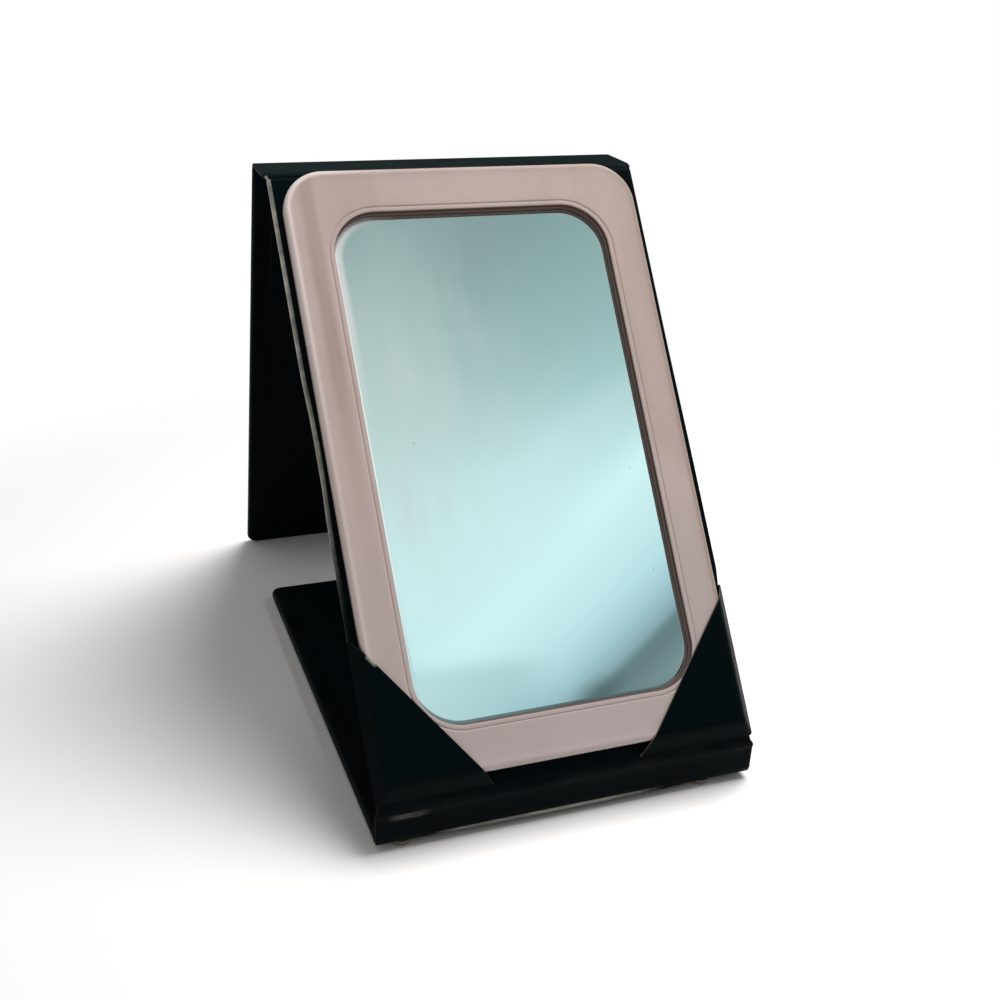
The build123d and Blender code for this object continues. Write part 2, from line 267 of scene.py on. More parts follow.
window_light = bpy.data.lights.new("window", "AREA")
window_light.size = 0.56
window_light.energy = 7.1
window_light.color = (1.0, 0.985, 0.965)
window = bpy.data.objects.new("window", window_light)
window_place, window_aim = Vector((0.33, -0.03, 0.84)), Vector((0, 0, 0.05))
window.location = window_place
window.rotation_euler = (window_aim - window_place).to_track_quat("-Z", "Y").to_euler()
window.visible_glossy = False
bpy.context.collection.objects.link(window)

# ------------------------------------------- The leather strip
# One strip of black synthetic leather is glued round three boards and two stiffeners and bends at four
# creases. It is made as four skins, one across each crease, that meet in the middle of a section. Side A is
# the strip's outer face, and side B carries the inner sheets inside a border.
panel_half, spine_half = 1.5, 0.98          # half a section's thickness
case_half_width, mirror_half_width = 65.0, 64.0
base_length, rear_length = 191.0, 218.0
edge_round, spine_edge_round = 1.2, 0.8
plan_corner = 5.0
panel_border, rear_end_border = 7.0, 14.0   # turned-in leather round an inner sheet
turn_in = 4.6
inset_depth = 0.22
web_reach, shoulder = 1.3, 1.5              # the thin bend at a crease, and the rise from it
web_side_a = {"base_skin": 0.98, "knee_skin": 1.28, "top_skin": 0.76, "rear_skin": 0.76}
web_side_b = 0.50
panel_ripple, spine_bow = 0.10, 0.20

creases = {joint["name"]: Vector(joint["pos_m"][1:]) / mm
           for joint in frame["record"]["behaviour"]["joints"]}
front, knee, top_front, top_rear = (creases[name + "_crease"]
                                    for name in ("front", "knee", "top_front", "top_rear"))


def heading(start, end):
    """Direction from one crease to the next, as an angle turned up from the rearward axis"""
    return atan2(end.y - start.y, end.x - start.x)


rear_reach = hypot(rear_length - edge_round, panel_half - edge_round)
rear_heading = -(asin((top_rear.y - edge_round) / rear_reach)
                 - atan2(panel_half - edge_round, rear_length - edge_round))
# The strip's sections: (heading, length, half thickness, half width)
sections = {
    "base": (pi, base_length, panel_half, case_half_width),
    "bottom_spine": (heading(front, knee), (knee - front).length, spine_half, case_half_width),
    "mirror_panel": (heading(knee, top_front), (top_front - knee).length, panel_half, mirror_half_width),
    "top_spine": (heading(top_front, top_rear), (top_rear - top_front).length, spine_half, case_half_width),
    "rear_panel": (rear_heading, rear_length, panel_half, case_half_width),
}


def ease(value):
    """Smooth step from 0 to 1"""
    value = min(max(value, 0.0), 1.0)
    return value * value * (3 - 2 * value)


def quarter(value):
    """Quarter circle from 0 to 1, steep first"""
    value = min(max(value, 0.0), 1.0)
    return sqrt(1 - (1 - value) ** 2)


def outward(angle):
    """Side A normal, in the plane across the creases, of a section with a heading"""
    return Vector((-sin(angle), cos(angle)))


def onward(angle):
    """Unit step along a section with a heading"""
    return Vector((cos(angle), sin(angle)))


border_rows = (-0.35, -0.1, 0.1, 0.35)      # rows of points close to a border's edge
panel_reach, row_spacing = 60.0, 8.0        # a section longer than this has rows all along it
bend_steps, corner_steps = 10, 6
no_end = 1e6                                # distance to the end of a section that has no free end


def end_distances(reach, free):
    """Distances from a crease to the middle or the free end of a section, close together where it curves"""
    marks = [web_reach + shoulder * (1 - cos(step * pi / 10)) for step in range(6)]
    if free:
        border = rear_end_border if free == "rear_panel" else panel_border
        marks += [reach - edge_round * (1 - cos(step * pi / 12)) for step in range(7)]
        marks += [reach - plan_corner * (1 - cos(step * pi / 16)) for step in range(2, 9)]
        marks += [reach - border + shift for shift in border_rows]
    if reach > panel_reach:
        rows = int((reach - 30.0) / row_spacing) + 1
        marks += [panel_border + shift for shift in border_rows]
        marks += [12.0] + [20.0 + step * row_spacing for step in range(rows)]
    else:
        marks += [marks[5] + (reach - marks[5]) * step / 4 for step in range(1, 4)]
    kept = []
    for value in sorted(marks):
        if value < reach - 0.02 and (not kept or value - kept[-1] > 0.04):
            kept.append(value)
    return kept + [reach]


def strip_stations(name_a, name_b, axis, bend_radius, free_a, free_b):
    """Stations along two sections and the bend between them: (centre, heading, section, distance, share)"""
    (angle_a, length_a), (angle_b, length_b) = sections[name_a][:2], sections[name_b][:2]
    bend = angle_a - angle_b
    tangent = bend_radius * tan(bend / 2)
    middle = axis - onward(angle_a) * tangent - outward(angle_a) * bend_radius
    stations = [(axis - onward(angle_a) * distance, angle_a, name_a, distance, 0.0)
                for distance in reversed(end_distances(length_a if free_a else length_a / 2, free_a))]
    for step in range(bend_steps + 1):
        share = step / bend_steps
        angle = angle_a - bend * share
        stations.append((middle + outward(angle) * bend_radius, angle, name_a if share < 0.5 else name_b,
                         abs(share - 0.5) * 2 * tangent, share))
    return stations + [(axis + onward(angle_b) * distance, angle_b, name_b, distance, 1.0)
                       for distance in end_distances(length_b if free_b else length_b / 2, free_b)]


def across_shares():
    """Shares of the flat half width at which a skin has a row of points"""
    flat = case_half_width - edge_round
    lines = [panel_border + shift for shift in border_rows] + [turn_in - 0.15, turn_in + 0.15, 2.6]
    half = [step / 12 * 0.88 for step in range(13)]
    half += sorted({round((flat - (line - edge_round)) / flat, 5) for line in lines}) + [1.0]
    return [-value for value in reversed(half[1:])] + half


def finished(name, verts, faces, marks=None, flat_faces=0):
    """Mesh object with outward faces, smooth but for the last ones, and attributes of its points"""
    mesh = bpy.data.meshes.new(name)
    mesh.from_pydata(verts, [], faces)
    for mark, values in (marks or {}).items():
        mesh.attributes.new(mark, "FLOAT", "POINT").data.foreach_set("value", values)
    shell = bmesh.new()
    shell.from_mesh(mesh)
    bmesh.ops.recalc_face_normals(shell, faces=shell.faces)
    shell.faces.ensure_lookup_table()
    rounded = len(shell.faces) - flat_faces
    for face in shell.faces:
        face.smooth = face.index < rounded
    for face in shell.faces[rounded:]:
        for edge in face.edges:
            edge.smooth = False
    shell.to_mesh(mesh)
    shell.free()
    made = bpy.data.objects.new(name, mesh)
    bpy.context.collection.objects.link(made)
    return made


def strips(loops, around, turned=False, first=0):
    """Faces between closed loops of points, one loop after the other; turned joins the last to the first"""
    faces = []
    for row in range(loops if turned else loops - 1):
        here, there = first + row * around, first + (row + 1) % loops * around
        for step in range(around):
            beside = (step + 1) % around
            faces.append((here + step, here + beside, there + beside, there + step))
    return faces


def edge_scuff_and_reflection(section, up, x):
    """How far the mirror panel's left edge is painted pale, part scuffed wear and part painted reflection
    of the table, more towards its top
    """
    if section != "mirror_panel" or x > 0:
        return 0.0
    return (ease((up - 62.0) / 44.0) * (0.80 + 0.20 * ease((up - 140.0) / 40.0))
            * (1 - 0.75 * max(0.0, 1 - abs(up - 134.0) / 6.0)))


def crease_rub_and_highlight(skin, share, distance, x):
    """How far the creases at the foot of the mirror are painted pale, part rubbed wear and part painted
    highlight: below in front, and at the knee's left
    """
    if skin == "base_skin" and 0.35 < share < 0.75:
        return 0.45 * ease((x + 47.0) / 8.0) * ease((31.0 - x) / 8.0)
    if skin == "knee_skin" and share < 0.3 and 1.2 < distance < 3.0:
        return 0.12 * ease((x + 61.0) / 3.0) * ease((-47.0 - x) / 6.0)
    return 0.0


def fold_slack(x, distance, share, level):
    """How far the front fold's outer leather hangs: less at its left end and from the right foot on"""
    loose = ease((8.0 - distance) / 7.0) * ease((0.75 - share) / 0.4) * ease((level + 0.6) / 1.2)
    return loose * (0.35 + 0.65 * ease((x + 62.0) / 50.0)) * (1 - 0.6 * ease((x - 34.0) / 9.0))


def pulled_sideways(x, up):
    """How far the mirror panel's edges stray: in at the left's middle, out at the right above the pocket"""
    if x < 0:
        return 0.8 * ease(1 - abs(up - 114.0) / 30.0) * ease(-x / 50.0)
    return (0.5 + 0.4 * ease((150.0 - up) / 60.0)) * ease((up - 54.0) / 6.0) * ease(x / 50.0)


def leather_skin(name, name_a, name_b, axis, bend_radius, free_a, free_b):
    """Closed skin over two sections, with rounded edges, a bordered side B and a soft bend at the crease"""
    stations = strip_stations(name_a, name_b, axis, bend_radius, free_a, free_b)
    shares = across_shares()
    web_a = web_side_a[name]
    verts, marks = [], []
    for centre, angle, side, distance, share in stations:
        _, length, half, _ = sections[side]
        width = sections[name_a][3] + (sections[name_b][3] - sections[name_a][3]) * ease(share)
        free = free_a if side == name_a else free_b
        to_end = length - distance if free else no_end
        spine = half <= spine_half
        rise = quarter((distance - web_reach) / shoulder)
        top, low = web_a + (half - web_a) * rise, -(web_side_b + (half - web_side_b) * rise)
        if to_end < edge_round:
            drop = edge_round * (1 - quarter(to_end / edge_round))
            top, low = top - drop, low + drop
        half_width = width - plan_corner * (1 - quarter(to_end / plan_corner))
        rounding = min(spine_edge_round if spine else edge_round, (top - low) * 0.47)
        flat = half_width - rounding
        border_far = rear_end_border if free == "rear_panel" else panel_border
        up = distance if name_a == "bottom_spine" else length - distance

        def side_a(x):
            cloud = noise.noise(Vector((x / 30, distance / 24, 3.0 + angle)))
            if not spine:
                return top + min(panel_ripple * (cloud - 0.45), 0.0) * rise * ease(to_end / 6)
            bow = spine_bow * ease((distance - 1.6) / 3.0) * (1 + 0.4 * cloud)
            return top - bow * ease((half_width - abs(x) - 1.0) / 5.0)

        def side_b(x):
            if spine:
                return low
            inside = min(half_width - abs(x) - panel_border, distance - panel_border, to_end - border_far)
            return low + inset_depth * ease((inside + 0.2) / 0.4)

        def corner(sign, level, turn):
            steps = [pi / 2 * step / corner_steps for step in range(1, corner_steps + 1)]
            return [(sign * (flat + rounding * sin(lean)), level - turn * rounding * (1 - cos(lean)),
                     0.40 + 0.60 * sin(lean) ** 2) for lean in steps]

        # The loop round the strip: (across, level, how far round the edge)
        loop = [(value * flat, side_a(value * flat), 0.0) for value in shares]
        loop += corner(1, top, 1) + corner(1, low, -1)[-2::-1]
        loop += [(value * flat, side_b(value * flat), 0.0) for value in reversed(shares)]
        loop += corner(-1, low, -1) + corner(-1, top, 1)[-2::-1]
        bent = 1.0 - ease((distance - 0.5) / 2.4)
        for x, level, edge in loop:
            place = centre + outward(angle) * level
            if name == "base_skin":
                place.y -= fold_slack(x, distance, share, level)
            if side == "mirror_panel":
                x += pulled_sideways(x, up)
            verts.append(Vector((x, place.x, place.y)) * mm)
            inset = 0.0 if spine or level >= 0 or edge else max(0.0, (level - low) / inset_depth)
            # Pale places are part wear and part painted highlight and reflection; the left edge's is fuller
            # on its flat side than on its roundings
            wear_and_highlight = max(edge * edge_scuff_and_reflection(side, up, x), crease_rub_and_highlight(name, share, distance, x))
            marks.append((edge, min(inset, 1.0), bent, wear_and_highlight))
    around = len(verts) // len(stations)
    last = len(verts) - around
    faces = strips(len(stations), around)
    faces += [tuple(range(around)), tuple(last + step for step in reversed(range(around)))]
    return finished(name, verts, faces, dict(zip(("edge", "inset", "bent", "wear_and_highlight"), zip(*marks))),
                    flat_faces=2)


def group(name, inputs, outputs):
    """Shader node group with the sockets at its two ends; an input is a number or a vector (None)"""
    made = bpy.data.node_groups.new(name, "ShaderNodeTree")
    for label, value in inputs.items():
        kind = "NodeSocketVector" if value is None else "NodeSocketFloat"
        socket = made.interface.new_socket(label, in_out="INPUT", socket_type=kind)
        if value is not None:
            socket.default_value = value
    for label in outputs:
        made.interface.new_socket(label, in_out="OUTPUT", socket_type="NodeSocketFloat")
    given, result = node(made, "NodeGroupInput", (-13, 0)), node(made, "NodeGroupOutput", (9, 0))
    return made, given.outputs, result.inputs


def dress(tree, made, **values):
    """Gives a node's inputs their values by name"""
    for label, value in values.items():
        feed(tree, made.inputs[label.replace("_", " ")], value)


def texture(tree, kind, vector, place, **settings):
    """Output of a noise or of cells, laid out by a vector"""
    return node(tree, "Tex" + kind, place, Vector=vector, **settings).outputs[0]


def stretched(tree, vector, place, scale):
    """A vector with a scale for each of its axes"""
    return node(tree, "Mapping", place, Vector=vector, Scale=scale).outputs[0]


# Grain: rounded pebbles under finer pores, on top of long soft wrinkles; clouds vary the sheen
grain_group, given, result = group(
    "pebbled_grain", {"Vector": None, "Cells per metre": 1500.0, "Wrinkle": 0.5}, ("Height", "Cloud"))
tree, spot = grain_group, given["Vector"]
cells = texture(tree, "Voronoi", spot, (-10, 2), feature="SMOOTH_F1", Smoothness=0.5,
                Scale=given["Cells per metre"])
pebble = ramped(tree, cells, (-7.5, 2), [(0.05, 1.0), (0.55, 0.0)], smooth=True)
pores = texture(tree, "Noise", spot, (-10, -1), Scale=5200.0, Detail=2.0)
folds = texture(tree, "Noise", spot, (-10, -3.5), Scale=240.0, Detail=5.0, Roughness=0.65)
cloud = texture(tree, "Noise", spot, (-10, -6), Scale=38.0, Detail=5.0, Roughness=0.65)
wrinkled = math(tree, "MULTIPLY", (-4, -2), folds, given["Wrinkle"])
pebbled = math(tree, "MULTIPLY_ADD", (0, 1), pebble, 0.5, wrinkled)
feed(tree, result["Height"], math(tree, "MULTIPLY_ADD", (3, 1), pores, 0.18, pebbled))
feed(tree, result["Cloud"], cloud)

# Wear: broken streaks that run across the part, let through where a mask says that hands rub
wear_group, given, result = group(
    "rubbed_places", {"Vector": None, "Rub": 0.0, "Streaks per metre": 60.0}, ("Mask",))
tree = wear_group
streak = texture(tree, "Noise", stretched(tree, given["Vector"], (-10, 0), (0.35, 1.0, 1.0)), (-7.5, 0),
                 Scale=given["Streaks per metre"], Detail=7.0, Roughness=0.72)
patchy = ramped(tree, streak, (-4.5, 0), [(0.44, 0.0), (0.66, 1.0)])
feed(tree, result["Mask"], math(tree, "MULTIPLY", (0, 0), patchy, given["Rub"], clamp=True))


def new_material(name):
    """Material, its tree, its shader and the output with its object coordinates"""
    made = bpy.data.materials.new(name)
    made.use_nodes = True
    tree = made.node_tree
    tree.nodes.clear()
    shader = node(tree, "BsdfPrincipled", (6, 0))
    node(tree, "OutputMaterial", (9, 0), Surface=shader.outputs[0])
    return made, tree, shader, node(tree, "TexCoord", (-14, 0)).outputs["Object"]


def placed(tree, made_group, spot, place, **values):
    """Outputs of a node group placed in a tree with its own values"""
    made = node(tree, "Group", place)
    made.node_tree = made_group
    dress(tree, made, Vector=spot, **values)
    return made.outputs


def mark(tree, name, place):
    """Value that the mesh carries under a name"""
    return node(tree, "Attribute", place, attribute_name=name).outputs["Fac"]


def bumped(tree, shader, height, strength, depth):
    """Bump under a shader from a height"""
    bump = node(tree, "Bump", (3, -4), Strength=strength, Distance=depth, Height=height)
    dress(tree, shader, Normal=bump.outputs[0])


leather_black, leather_rubbed = (0.0012, 0.0036, 0.0046), (0.012, 0.015, 0.015)
# The pale grey of scuffed places also stands in for painted highlight and reflection; the raw edge is the
# cut's own colour
leather_scuff_and_highlight, raw_edge = (0.88, 0.84, 0.75), (0.19, 0.155, 0.135)
leather_specular, burnished_roughness = 0.032, 0.22


def leather_material(name, cells, wrinkle, roughness, rub, depth):
    """Black leather: pebbled bump, cloudy sheen, rubbed folds, raw cut edges, and a burnished left edge and
    creases painted pale, part wear and part painted highlight and reflection
    """
    made, tree, shader, spot = new_material(name)
    grain = placed(tree, grain_group, spot, (-10, 2), Cells_per_metre=cells, Wrinkle=wrinkle)
    rubbed = math(tree, "MULTIPLY_ADD", (-9, -2.5), mark(tree, "bent", (-12, -2)), rub,
                  math(tree, "MULTIPLY", (-10, -3.5), mark(tree, "edge", (-12, -3.5)), rub * 0.25))
    wear = placed(tree, wear_group, spot, (-7, -2), Streaks_per_metre=150.0, Rub=rubbed)
    pale_streaks = placed(tree, wear_group, spot, (-7, -5), Streaks_per_metre=70.0, Rub=1.0)
    colour = mixed(tree, (-3, 4), wear["Mask"], leather_black, leather_rubbed)
    colour = mixed(tree, (-0.5, 4), mark(tree, "cut", (-3, 6)), colour, raw_edge)
    # Pale coated places, part wear and part painted highlight and reflection, broken into streaks
    scuff_and_highlight_share = math(tree, "MULTIPLY", (0, -2), mark(tree, "wear_and_highlight", (-3, -3)),
                  ranged(tree, pale_streaks["Mask"], (-3, -5), 0.0, 0.8, 0.42))
    sheen = ranged(tree, grain["Cloud"], (-3, 1), 0.35, 0.65, roughness - 0.06, roughness + 0.08)
    dress(tree, shader, Base_Color=mixed(tree, (2, 4), scuff_and_highlight_share, colour, leather_scuff_and_highlight),
          Roughness=math(tree, "MULTIPLY_ADD", (0, 0.5), mark(tree, "inset", (-3, -0.5)), 0.08, sheen),
          Coat_Weight=scuff_and_highlight_share, Coat_Roughness=burnished_roughness, Specular_IOR_Level=leather_specular)
    bumped(tree, shader, grain["Height"], 0.5, depth)
    return made


case_leather = leather_material("case_leather", 1500.0, 0.55, 0.40, 0.45, 0.00012)
# (name, the two sections, axis of the crease, bend radius, which ends are free, nodes it stands for)
skins = [
    ("base_skin", "base", "bottom_spine", front, 1.2, "base", None, ["base_leather", "base_inner_sheet"]),
    ("knee_skin", "bottom_spine", "mirror_panel", knee, 2.2, None, None,
     ["bottom_spine_leather", "bottom_spine_inner_sheet"]),
    ("top_skin", "mirror_panel", "top_spine", top_front, 1.8, None, None,
     ["mirror_panel_leather", "mirror_panel_inner_sheet"]),
    ("rear_skin", "top_spine", "rear_panel", top_rear, 1.6, None, "rear_panel",
     ["top_spine_leather", "top_spine_inner_sheet", "rear_panel_leather", "rear_panel_inner_sheet"]),
]
for skin_name, body_a, body_b, axis, bend_radius, free_a, free_b, stood_for in skins:
    skin = leather_skin(skin_name, body_a, body_b, axis, bend_radius, free_a, free_b)
    skin.data.materials.append(case_leather)
    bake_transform(skin)
    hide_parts(*stood_for)

# -------------------------------------------------------- Feet
# Four domed bumpers of clear polyurethane, aged to amber, stuck by hand to the underside of the base. The
# left pair sits nearer to its edge than the right pair. One is modelled and a rectangle of four made of it.
foot_radius, foot_height, foot_tip = 4.0, 2.2, 1.4
foot_columns = (-56.0, 48.0)
foot_rows = (3.9, base_length - 12.0)
spokes = 28

profile = [(foot_tip * 0.6, 0.0)]
for step in range(9):
    turn = pi / 2 * step / 8
    profile.append((foot_tip + (foot_radius - foot_tip) * sin(turn) ** 0.5,
                    foot_height * (1 - cos(turn)) * 0.93))
profile += [(foot_radius, foot_height * 0.97), (foot_radius - 0.06, foot_height)]
turns = [2 * pi * spoke / spokes for spoke in range(spokes)]
verts = [(reach * cos(turn) * mm, reach * sin(turn) * mm, level * mm)
         for reach, level in profile for turn in turns]
verts = [(0, 0, 0)] + verts + [(0, 0, foot_height * mm)]
faces = strips(len(profile), spokes, first=1)
last_ring = len(verts) - 1 - spokes
for spoke in range(spokes):
    beside = (spoke + 1) % spokes
    faces += [(0, 1 + beside, 1 + spoke), (last_ring + spoke, last_ring + beside, len(verts) - 1)]
feet = finished("bumpers", verts, faces)

bumper_clear, tree, shader, spot = new_material("aged_polyurethane")
dust = texture(tree, "Noise", spot, (-9, 0), Scale=420.0, Detail=4.0)
amber = mixed(tree, (-3, 2), dust, (0.075, 0.058, 0.038), (0.17, 0.14, 0.10))
dress(tree, shader, Base_Color=amber, Roughness=ranged(tree, dust, (-3, -1), 0.3, 0.7, 0.12, 0.30),
      Coat_Weight=0.6, Coat_Roughness=0.08, Subsurface_Weight=0.35,
      Subsurface_Radius=(0.002, 0.0012, 0.0005))
bumped(tree, shader, dust, 0.25, 0.00005)

spread = bpy.data.node_groups.new("bumpers_in_a_rectangle", "GeometryNodeTree")
foot_settings = {"Spacing across": (foot_columns[1] - foot_columns[0]) * mm,
                 "Spacing along": (foot_rows[1] - foot_rows[0]) * mm,
                 "Middle": ((foot_columns[0] + foot_columns[1]) / 2 * mm,
                            (front.x + (foot_rows[0] + foot_rows[1]) / 2) * mm, 0.0),
                 "Finish": bumper_clear}
for label, kind in (("Bumper", "Geometry"), ("Spacing across", "Float"), ("Spacing along", "Float"),
                    ("Middle", "Vector"), ("Finish", "Material")):
    socket = spread.interface.new_socket(label, in_out="INPUT", socket_type="NodeSocket" + kind)
    if kind == "Float":
        socket.default_value = foot_settings[label]
spread.interface.new_socket("Bumpers", in_out="OUTPUT", socket_type="NodeSocketGeometry")
given = node(spread, "NodeGroupInput", (-8, 0)).outputs
corners = node(spread, "GeometryNodeMeshGrid", (-5, 2), Vertices_X=2, Vertices_Y=2,
               Size_X=given["Spacing across"], Size_Y=given["Spacing along"])
moved = node(spread, "GeometryNodeTransform", (-2.5, 2), Geometry=corners.outputs["Mesh"],
             Translation=given["Middle"])
copied = node(spread, "GeometryNodeInstanceOnPoints", (0, 1), Points=moved.outputs[0],
              Instance=given["Bumper"])
made_real = node(spread, "GeometryNodeRealizeInstances", (2.5, 1), Geometry=copied.outputs[0])
coated = node(spread, "GeometryNodeSetMaterial", (5, 1), Geometry=made_real.outputs[0],
              Material=given["Finish"])
node(spread, "NodeGroupOutput", (8, 0), Bumpers=coated.outputs[0])
placing = feet.modifiers.new("placing", "NODES")
placing.node_group = spread
for socket in spread.interface.items_tree:
    if socket.name in foot_settings:
        placing[socket.identifier] = foot_settings[socket.name]
plain_mesh = bpy.data.meshes.new_from_object(feet.evaluated_get(bpy.context.evaluated_depsgraph_get()))
feet.modifiers.clear()
feet.data = plain_mesh
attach(feet, "base")
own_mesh(feet)
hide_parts("base_feet")

# --------------------------------------- Boards and stiffeners
# Cores of pressed grey fibre board, sawn to size and sealed in by the leather. Their shapes stay as the
# frame has them.


def finish(material, *names):
    """Gives a material to pieces that stay as the frame has them"""
    for name in names:
        frame["nodes"][name].material_slots[0].material = material


board_grey, tree, shader, spot = new_material("grey_fibreboard")
fibres = texture(tree, "Noise", spot, (-9, 1), Scale=900.0, Detail=6.0, Roughness=0.7)
fleck = ramped(tree, texture(tree, "Voronoi", spot, (-9, -2), Scale=700.0), (-6, -2),
               [(0.05, 1.0), (0.16, 0.0)])
fibre_tone = mixed(tree, (-3, 2), fibres, (0.23, 0.21, 0.18), (0.36, 0.34, 0.30))
dress(tree, shader, Base_Color=mixed(tree, (0, 2), fleck, fibre_tone, (0.12, 0.10, 0.085)),
      Roughness=ranged(tree, fibres, (0, -1), 0.3, 0.7, 0.78, 0.95))
bumped(tree, shader, fibres, 0.4, 0.0001)
finish(board_grey, "base_board", "bottom_spine_stiffener", "mirror_panel_board", "top_spine_stiffener",
       "rear_panel_board")

# ---------------------------------- Closing plates and magnets
# Two zinc-plated steel discs let into the base's board, and two nickel-plated disc magnets let into the
# rear panel's, which hold the folded case shut.
for node_name, name, colour, dull, roughness in (
        ("closing_plates", "zinc_plated_steel", (0.62, 0.63, 0.65), (0.46, 0.46, 0.47), 0.30),
        ("closing_magnets", "nickel_plating", (0.68, 0.65, 0.60), (0.55, 0.52, 0.48), 0.16)):
    plating, tree, shader, spot = new_material(name)
    clouds = texture(tree, "Noise", spot, (-9, 1), Scale=600.0, Detail=5.0, Roughness=0.7)
    scratches = texture(tree, "Noise", stretched(tree, spot, (-11, -2), (1.0, 14.0, 1.0)), (-9, -2),
                        Scale=500.0, Detail=3.0)
    dress(tree, shader, Base_Color=mixed(tree, (-3, 2), clouds, colour, dull), Metallic=1.0,
          Roughness=ranged(tree, scratches, (-3, -1), 0.3, 0.7, roughness, roughness + 0.18))
    bumped(tree, shader, scratches, 0.2, 0.00002)
    finish(plating, node_name)

# ----------------------------------- Mounting tape, back plate
# Two strips of white foam tape hold the mirror's frame on the leather, and a thin plastic sheet closes the
# mirror's frame behind the glass. Their shapes stay too.
tape_foam, tree, shader, spot = new_material("foam_tape")
bubbles = texture(tree, "Voronoi", spot, (-9, 0), Scale=2600.0, feature="SMOOTH_F1")
foam = mixed(tree, (-3, 2), bubbles, (0.86, 0.86, 0.83), (0.70, 0.70, 0.67))
dress(tree, shader, Base_Color=foam, Roughness=0.85)
bumped(tree, shader, bubbles, 0.4, 0.0001)
finish(tape_foam, "mounting_tape")

back_sheet, tree, shader, spot = new_material("matt_plastic_sheet")
matt = texture(tree, "Noise", spot, (-9, 0), Scale=1500.0, Detail=4.0)
pink = mixed(tree, (-3, 2), matt, (0.42, 0.32, 0.30), (0.48, 0.37, 0.35))
dress(tree, shader, Base_Color=pink, Roughness=ranged(tree, matt, (-3, -1), 0.3, 0.7, 0.5, 0.65))
bumped(tree, shader, matt, 0.2, 0.00004)
finish(back_sheet, "frame_back_plate")

# ---------------------------------------------- Mirror's frame
# Injection-moulded tray of dusty pink plastic with a satin skin: a raised rim outside, a fine groove and a
# rolled lip round the opening, and a wall down to the glass, darkened with painted shade.
opening = (47.3, 84.6, 15.0)                # half width, half length, corner radius
outside = (61.1, 100.15, 14.2)
frame_middle = 106.55
corner_points, side_points = 16, 8
panel_heading = sections["mirror_panel"][0]


def on_panel(x, up, level):
    """A place on the mirror panel, from across, up from its lower crease, and above its middle plane"""
    flat_point = knee + onward(panel_heading) * up + outward(panel_heading) * level
    return Vector((x, flat_point.x, flat_point.y)) * mm


def ring(shape, grow, level):
    """Rounded rectangle of points round the frame's middle, grown from a shape, at a level"""
    half_width, half_length, corner = (size + grow for size in shape)
    centres = [(x * (half_width - corner), y * (half_length - corner))
               for x, y in ((1, 1), (-1, 1), (-1, -1), (1, -1))]

    def on_arc(centre, turns):
        return centre[0] + corner * cos(pi / 2 * turns), centre[1] + corner * sin(pi / 2 * turns)

    flat = []
    for quarter_turn, centre in enumerate(centres):
        flat += [on_arc(centre, quarter_turn + step / corner_points) for step in range(corner_points + 1)]
        start, end = flat[-1], on_arc(centres[(quarter_turn + 1) % 4], quarter_turn + 1)
        flat += [tuple(here + (there - here) * step / side_points for here, there in zip(start, end))
                 for step in range(1, side_points)]
    return [on_panel(x, frame_middle + y, level) for x, y in flat]


# (distance out from a shape, level above the panel's middle plane, share of painted shade on the wall)
lip = [(0.05, 3.10, 0.9), (0.08, 4.40, 0.75), (0.10, 5.20, 1.0), (0.14, 5.80, 1.0), (0.24, 6.08, 0.75),
       (0.42, 6.24, 0), (0.75, 6.30, 0), (1.20, 6.30, 0), (1.50, 6.27, 0), (1.64, 6.24, 0), (1.74, 6.06, 0),
       (1.86, 6.02, 0), (1.98, 6.06, 0), (2.08, 6.22, 0), (2.60, 6.25, 0), (5.60, 6.12, 0)]
outer_rim = [(-5.20, 6.08, 0), (-3.40, 6.12, 0), (-2.50, 6.18, 0), (-2.05, 6.26, 0), (-1.60, 6.30, 0),
             (-1.15, 6.21, 0), (-0.65, 5.92, 0), (-0.28, 5.45, 0), (-0.07, 4.85, 0), (0.00, 4.20, 0),
             (0.00, 2.05, 0), (-0.20, 1.80, 0), (-1.50, 1.80, 0), (-1.50, 2.45, 0)]
underside = [(2.20, 2.45, 1.0), (2.20, 3.10, 1.0)]
tray_verts, rings = [], 0
shaded_wall, rim_highlight, shade = [], [], []
for shape, profile in ((opening, lip), (outside, outer_rim), (opening, underside)):
    for grow, level, dark in profile:
        roll = ease((grow + 2.4) / 0.9) * ease((level - 3.6) / 1.0) if shape == outside else 0.0
        rings += 1
        for place in ring(shape, grow, level):
            leftward = ease((-place.x / mm - 20.0) / 38.0)
            upward = ease((place.z / mm - 95.0) / 70.0)
            tray_verts.append(place)
            shaded_wall.append(dark)
            # rim: a painted highlight on the outer roll, at the left and upper left; shade: painted shade
            # on the outer roll at the right
            rim_highlight.append(roll * leftward * (0.45 + 0.55 * upward))
            shade.append(roll * ease((place.x / mm - 52.0) / 8.0))
tray = finished("mirror_tray", tray_verts, strips(rings, len(tray_verts) // rings, turned=True),
                {"shaded_wall": shaded_wall, "rim_highlight": rim_highlight, "shade": shade})

